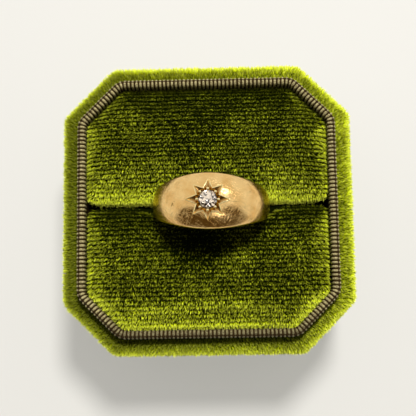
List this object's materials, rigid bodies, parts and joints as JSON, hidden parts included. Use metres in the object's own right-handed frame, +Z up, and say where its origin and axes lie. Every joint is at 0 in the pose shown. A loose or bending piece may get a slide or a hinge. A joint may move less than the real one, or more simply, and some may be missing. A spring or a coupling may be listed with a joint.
{
  "type": "starburst ring in a velvet ring box",
  "caption": "Domed gold ring with a small round stone in an engraved starburst, upright in the slot of an eight-sided velvet ring box base.",
  "frame": {"origin": "middle of the box's flat underside, on the surface that it stands on", "axes": "+Z up, +X to the right and +Y to the back of the box; the ring's finger hole runs along Y, within 1.5 degrees"},
  "size_m": [0.055, 0.055, 0.0393],
  "materials": {
    "gold": "satin worn yellow gold, with the star's cuts polished",
    "diamond": "clear, old round cut, polished facets",
    "velvet": "olive green ribbed velvet pile",
    "ribbon": "brown ribbed ribbon with a dull sheen"
  },
  "bodies": {
    "root": {"ring_band": "gold", "diamond": "diamond", "box_shell": "velvet", "lip": "ribbon", "back_pad": "velvet", "front_pad": "velvet"}
  },
  "joints": []
}
